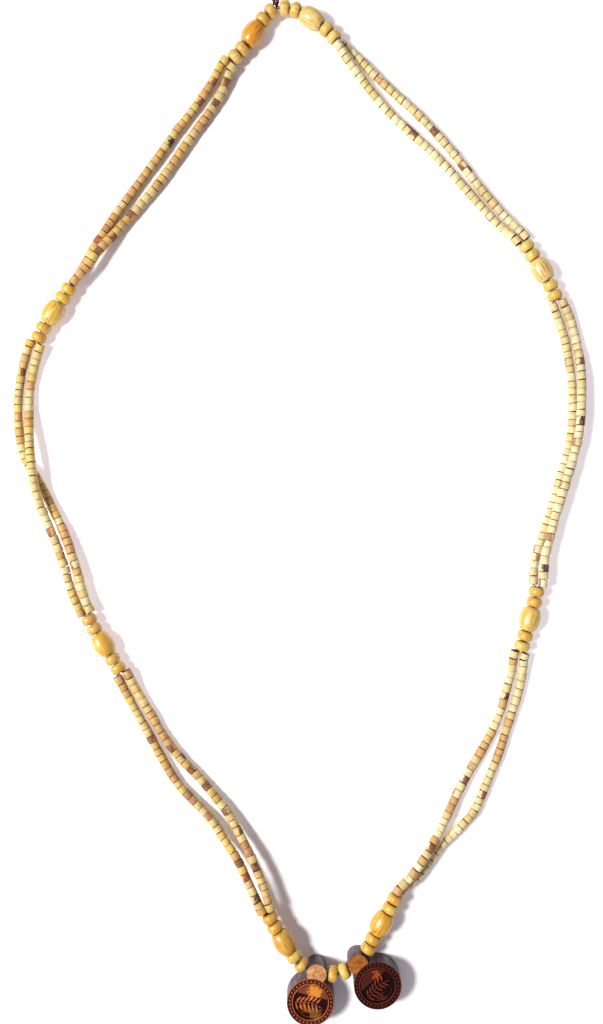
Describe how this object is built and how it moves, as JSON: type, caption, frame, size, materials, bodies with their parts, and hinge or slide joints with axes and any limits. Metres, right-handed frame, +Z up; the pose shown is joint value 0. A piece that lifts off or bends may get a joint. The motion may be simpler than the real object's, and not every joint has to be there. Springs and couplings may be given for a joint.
{
  "type": "bead necklace",
  "caption": "Long closed necklace of small wooden beads in double rows between barrel beads, with two round carved pendants, laid flat as a loop.",
  "frame": {"origin": "middle of the laid-out loop's bounding box, on the table plane it rests on", "axes": "+Y runs from the pendants to the knot, +X to the side of the right pendant, +Z up from the table"},
  "size_m": [0.2558, 0.4552, 0.0124],
  "materials": {
    "small_bead_wood": "matt, freshly sawn",
    "rondelle_wood": "satin",
    "varnished_wood": "gloss varnish",
    "thread": "twisted cord, matt",
    "knot": "tied cord, matt",
    "carved_wood": "dark stained, satin",
    "twig_wood": "bark left on, matt"
  },
  "bodies": {
    "string": {"bottom_left_tube_beads_inner": "small_bead_wood", "bottom_left_tube_beads_outer": "small_bead_wood", "bottom_right_tube_beads_inner": "small_bead_wood", "bottom_right_tube_beads_outer": "small_bead_wood", "knot": "knot", "left_tube_beads_inner": "small_bead_wood", "left_tube_beads_outer": "small_bead_wood", "right_tube_beads_inner": "small_bead_wood", "right_tube_beads_outer": "small_bead_wood", "thread": "thread", "top_left_tube_beads_inner": "small_bead_wood", "top_left_tube_beads_outer": "small_bead_wood", "top_right_tube_beads_inner": "small_bead_wood", "top_right_tube_beads_outer": "small_bead_wood"},
    "left_pendant": {"left_pendant_disc": "carved_wood", "left_pendant_bail": "twig_wood"},
    "right_pendant": {"right_pendant_disc": "carved_wood", "right_pendant_bail": "twig_wood"},
    "bottom_oval_1": {"bottom_oval_1": "varnished_wood"},
    "bottom_oval_2": {"bottom_oval_2": "varnished_wood"},
    "bottom_rondelle_1": {"bottom_rondelle_1": "rondelle_wood"},
    "bottom_rondelle_10": {"bottom_rondelle_10": "rondelle_wood"},
    "bottom_rondelle_2": {"bottom_rondelle_2": "rondelle_wood"},
    "bottom_rondelle_3": {"bottom_rondelle_3": "rondelle_wood"},
    "bottom_rondelle_4": {"bottom_rondelle_4": "rondelle_wood"},
    "bottom_rondelle_5": {"bottom_rondelle_5": "rondelle_wood"},
    "bottom_rondelle_6": {"bottom_rondelle_6": "rondelle_wood"},
    "bottom_rondelle_7": {"bottom_rondelle_7": "rondelle_wood"},
    "bottom_rondelle_8": {"bottom_rondelle_8": "rondelle_wood"},
    "bottom_rondelle_9": {"bottom_rondelle_9": "rondelle_wood"},
    "lower_left_oval_1": {"lower_left_oval_1": "varnished_wood"},
    "lower_left_rondelle_1": {"lower_left_rondelle_1": "rondelle_wood"},
    "lower_left_rondelle_2": {"lower_left_rondelle_2": "rondelle_wood"},
    "lower_left_rondelle_3": {"lower_left_rondelle_3": "rondelle_wood"},
    "lower_left_rondelle_4": {"lower_left_rondelle_4": "rondelle_wood"},
    "lower_right_oval_1": {"lower_right_oval_1": "varnished_wood"},
    "lower_right_rondelle_1": {"lower_right_rondelle_1": "rondelle_wood"},
    "lower_right_rondelle_2": {"lower_right_rondelle_2": "rondelle_wood"},
    "lower_right_rondelle_3": {"lower_right_rondelle_3": "rondelle_wood"},
    "lower_right_rondelle_4": {"lower_right_rondelle_4": "rondelle_wood"},
    "top_oval_1": {"top_oval_1": "varnished_wood"},
    "top_oval_2": {"top_oval_2": "varnished_wood"},
    "top_rondelle_1": {"top_rondelle_1": "rondelle_wood"},
    "top_rondelle_2": {"top_rondelle_2": "rondelle_wood"},
    "top_rondelle_3": {"top_rondelle_3": "rondelle_wood"},
    "top_rondelle_4": {"top_rondelle_4": "rondelle_wood"},
    "top_rondelle_5": {"top_rondelle_5": "rondelle_wood"},
    "top_rondelle_6": {"top_rondelle_6": "rondelle_wood"},
    "top_rondelle_7": {"top_rondelle_7": "rondelle_wood"},
    "top_rondelle_8": {"top_rondelle_8": "rondelle_wood"},
    "upper_left_oval_1": {"upper_left_oval_1": "varnished_wood"},
    "upper_left_rondelle_1": {"upper_left_rondelle_1": "rondelle_wood"},
    "upper_left_rondelle_2": {"upper_left_rondelle_2": "rondelle_wood"},
    "upper_left_rondelle_3": {"upper_left_rondelle_3": "rondelle_wood"},
    "upper_left_rondelle_4": {"upper_left_rondelle_4": "rondelle_wood"},
    "upper_right_oval_1": {"upper_right_oval_1": "varnished_wood"},
    "upper_right_rondelle_1": {"upper_right_rondelle_1": "rondelle_wood"},
    "upper_right_rondelle_2": {"upper_right_rondelle_2": "rondelle_wood"},
    "upper_right_rondelle_3": {"upper_right_rondelle_3": "rondelle_wood"},
    "upper_right_rondelle_4": {"upper_right_rondelle_4": "rondelle_wood"}
  },
  "joints": [
    {"name": "left_pendant_swing", "type": "hinge", "parent": "string", "child": "left_pendant", "pos_m": [0.00787, -0.20472, 0.00651], "axis": [-0.9589, 0.28, 0.0465], "range_deg": [0, 60]},
    {"name": "right_pendant_swing", "type": "hinge", "parent": "string", "child": "right_pendant", "pos_m": [0.02613, -0.20051, 0.00604], "axis": [-0.7378, -0.6745, 0.025], "range_deg": [0, 60]},
    {"name": "bottom_oval_1_spin", "type": "hinge", "parent": "string", "child": "bottom_oval_1", "pos_m": [0.03675, -0.18387, 0.00615], "axis": [-0.4813, -0.876, -0.0328], "continuous": true},
    {"name": "bottom_oval_2_spin", "type": "hinge", "parent": "string", "child": "bottom_oval_2", "pos_m": [-0.00648, -0.19129, 0.00768], "axis": [-0.5277, 0.8477, 0.0539], "continuous": true},
    {"name": "bottom_rondelle_1_spin", "type": "hinge", "parent": "string", "child": "bottom_rondelle_1", "pos_m": [0.04267, -0.17287, 0.00626], "axis": [-0.4556, -0.89, 0.0206], "continuous": true},
    {"name": "bottom_rondelle_10_spin", "type": "hinge", "parent": "string", "child": "bottom_rondelle_10", "pos_m": [-0.0127, -0.18047, 0.00825], "axis": [-0.4541, 0.8903, 0.0336], "continuous": true},
    {"name": "bottom_rondelle_2_spin", "type": "hinge", "parent": "string", "child": "bottom_rondelle_2", "pos_m": [0.04049, -0.17703, 0.00632], "axis": [-0.4746, -0.8802, 0.005], "continuous": true},
    {"name": "bottom_rondelle_3_spin", "type": "hinge", "parent": "string", "child": "bottom_rondelle_3", "pos_m": [0.03309, -0.19076, 0.00591], "axis": [-0.4386, -0.8982, -0.0282], "continuous": true},
    {"name": "bottom_rondelle_4_spin", "type": "hinge", "parent": "string", "child": "bottom_rondelle_4", "pos_m": [0.03095, -0.19494, 0.00588], "axis": [-0.472, -0.8815, 0.015], "continuous": true},
    {"name": "bottom_rondelle_5_spin", "type": "hinge", "parent": "string", "child": "bottom_rondelle_5", "pos_m": [0.02027, -0.20488, 0.00616], "axis": [-0.9015, -0.4328, -0.0001], "continuous": true},
    {"name": "bottom_rondelle_6_spin", "type": "hinge", "parent": "string", "child": "bottom_rondelle_6", "pos_m": [0.01503, -0.20607, 0.00622], "axis": [-0.9997, -0.0004, 0.0228], "continuous": true},
    {"name": "bottom_rondelle_7_spin", "type": "hinge", "parent": "string", "child": "bottom_rondelle_7", "pos_m": [0.00109, -0.2016, 0.00692], "axis": [-0.758, 0.6486, 0.0688], "continuous": true},
    {"name": "bottom_rondelle_8_spin", "type": "hinge", "parent": "string", "child": "bottom_rondelle_8", "pos_m": [-0.00228, -0.19784, 0.00725], "axis": [-0.5639, 0.8237, 0.0592], "continuous": true},
    {"name": "bottom_rondelle_9_spin", "type": "hinge", "parent": "string", "child": "bottom_rondelle_9", "pos_m": [-0.0105, -0.18461, 0.00807], "axis": [-0.484, 0.8741, 0.0416], "continuous": true},
    {"name": "lower_left_oval_1_spin", "type": "hinge", "parent": "string", "child": "lower_left_oval_1", "pos_m": [-0.08702, -0.06023, 0.00473], "axis": [-0.5223, 0.8527, 0.0045], "continuous": true},
    {"name": "lower_left_rondelle_1_spin", "type": "hinge", "parent": "string", "child": "lower_left_rondelle_1", "pos_m": [-0.08051, -0.07089, 0.00442], "axis": [-0.5411, 0.8405, 0.0286], "continuous": true},
    {"name": "lower_left_rondelle_2_spin", "type": "hinge", "parent": "string", "child": "lower_left_rondelle_2", "pos_m": [-0.08298, -0.06689, 0.0046], "axis": [-0.5088, 0.8596, 0.048], "continuous": true},
    {"name": "lower_left_rondelle_3_spin", "type": "hinge", "parent": "string", "child": "lower_left_rondelle_3", "pos_m": [-0.09105, -0.05355, 0.00468], "axis": [-0.5029, 0.8637, -0.032], "continuous": true},
    {"name": "lower_left_rondelle_4_spin", "type": "hinge", "parent": "string", "child": "lower_left_rondelle_4", "pos_m": [-0.09326, -0.04939, 0.00458], "axis": [-0.436, 0.8998, -0.0125], "continuous": true},
    {"name": "lower_right_oval_1_spin", "type": "hinge", "parent": "string", "child": "lower_right_oval_1", "pos_m": [0.10278, -0.04891, 0.00485], "axis": [-0.259, -0.9657, -0.0182], "continuous": true},
    {"name": "lower_right_rondelle_1_spin", "type": "hinge", "parent": "string", "child": "lower_right_rondelle_1", "pos_m": [0.10573, -0.03677, 0.00501], "axis": [-0.2056, -0.9785, -0.0156], "continuous": true},
    {"name": "lower_right_rondelle_2_spin", "type": "hinge", "parent": "string", "child": "lower_right_rondelle_2", "pos_m": [0.10472, -0.04136, 0.00496], "axis": [-0.2247, -0.9744, -0.0049], "continuous": true},
    {"name": "lower_right_rondelle_3_spin", "type": "hinge", "parent": "string", "child": "lower_right_rondelle_3", "pos_m": [0.10072, -0.05643, 0.00465], "axis": [-0.2762, -0.9601, -0.0434], "continuous": true},
    {"name": "lower_right_rondelle_4_spin", "type": "hinge", "parent": "string", "child": "lower_right_rondelle_4", "pos_m": [0.09942, -0.06094, 0.00445], "axis": [-0.2745, -0.9607, -0.0412], "continuous": true},
    {"name": "top_oval_1_spin", "type": "hinge", "parent": "string", "child": "top_oval_1", "pos_m": [-0.0204, 0.21124, 0.00482], "axis": [0.5364, 0.8436, 0.0259], "continuous": true},
    {"name": "top_oval_2_spin", "type": "hinge", "parent": "string", "child": "top_oval_2", "pos_m": [0.0058, 0.21819, 0.00495], "axis": [0.8533, -0.5214, 0.0001], "continuous": true},
    {"name": "top_rondelle_1_spin", "type": "hinge", "parent": "string", "child": "top_rondelle_1", "pos_m": [-0.02846, 0.20136, 0.00431], "axis": [0.7147, 0.6976, 0.0509], "continuous": true},
    {"name": "top_rondelle_2_spin", "type": "hinge", "parent": "string", "child": "top_rondelle_2", "pos_m": [-0.02516, 0.20469, 0.00455], "axis": [0.6926, 0.7196, 0.0499], "continuous": true},
    {"name": "top_rondelle_3_spin", "type": "hinge", "parent": "string", "child": "top_rondelle_3", "pos_m": [-0.01598, 0.21776, 0.00496], "axis": [0.6164, 0.7874, -0.0029], "continuous": true},
    {"name": "top_rondelle_4_spin", "type": "hinge", "parent": "string", "child": "top_rondelle_4", "pos_m": [-0.01241, 0.22131, 0.00495], "axis": [0.7916, 0.611, 0], "continuous": true},
    {"name": "top_rondelle_5_spin", "type": "hinge", "parent": "string", "child": "top_rondelle_5", "pos_m": [-0.00628, 0.22298, 0.00495], "axis": [0.9929, -0.1188, 0], "continuous": true},
    {"name": "top_rondelle_6_spin", "type": "hinge", "parent": "string", "child": "top_rondelle_6", "pos_m": [-0.00146, 0.22192, 0.00495], "axis": [0.9518, -0.3069, 0], "continuous": true},
    {"name": "top_rondelle_7_spin", "type": "hinge", "parent": "string", "child": "top_rondelle_7", "pos_m": [0.01243, 0.21337, 0.00491], "axis": [0.6917, -0.722, -0.0153], "continuous": true},
    {"name": "top_rondelle_8_spin", "type": "hinge", "parent": "string", "child": "top_rondelle_8", "pos_m": [0.01564, 0.20993, 0.00484], "axis": [0.6723, -0.7401, -0.0172], "continuous": true},
    {"name": "upper_left_oval_1_spin", "type": "hinge", "parent": "string", "child": "upper_left_oval_1", "pos_m": [-0.10937, 0.08739, 0.00483], "axis": [0.5599, 0.8281, 0.0257], "continuous": true},
    {"name": "upper_left_rondelle_1_spin", "type": "hinge", "parent": "string", "child": "upper_left_rondelle_1", "pos_m": [-0.11579, 0.07667, 0.00435], "axis": [0.4355, 0.8991, 0.0443], "continuous": true},
    {"name": "upper_left_rondelle_2_spin", "type": "hinge", "parent": "string", "child": "upper_left_rondelle_2", "pos_m": [-0.1136, 0.08082, 0.00457], "axis": [0.4967, 0.8665, 0.0493], "continuous": true},
    {"name": "upper_left_rondelle_3_spin", "type": "hinge", "parent": "string", "child": "upper_left_rondelle_3", "pos_m": [-0.105, 0.09386, 0.00496], "axis": [0.5578, 0.83, -0.0033], "continuous": true},
    {"name": "upper_left_rondelle_4_spin", "type": "hinge", "parent": "string", "child": "upper_left_rondelle_4", "pos_m": [-0.10244, 0.0978, 0.00495], "axis": [0.5332, 0.846, 0], "continuous": true},
    {"name": "upper_right_oval_1_spin", "type": "hinge", "parent": "string", "child": "upper_right_oval_1", "pos_m": [0.10814, 0.10636, 0.00473], "axis": [0.5108, -0.8596, 0.0166], "continuous": true},
    {"name": "upper_right_rondelle_1_spin", "type": "hinge", "parent": "string", "child": "upper_right_rondelle_1", "pos_m": [0.10143, 0.11689, 0.00441], "axis": [0.5545, -0.8318, 0.0256], "continuous": true},
    {"name": "upper_right_rondelle_2_spin", "type": "hinge", "parent": "string", "child": "upper_right_rondelle_2", "pos_m": [0.10404, 0.11299, 0.00455], "axis": [0.5585, -0.8287, 0.0377], "continuous": true},
    {"name": "upper_right_rondelle_3_spin", "type": "hinge", "parent": "string", "child": "upper_right_rondelle_3", "pos_m": [0.11195, 0.09937, 0.0047], "axis": [0.4038, -0.9134, -0.0523], "continuous": true},
    {"name": "upper_right_rondelle_4_spin", "type": "hinge", "parent": "string", "child": "upper_right_rondelle_4", "pos_m": [0.11387, 0.09509, 0.00446], "axis": [0.4127, -0.9095, -0.0504], "continuous": true}
  ]
}
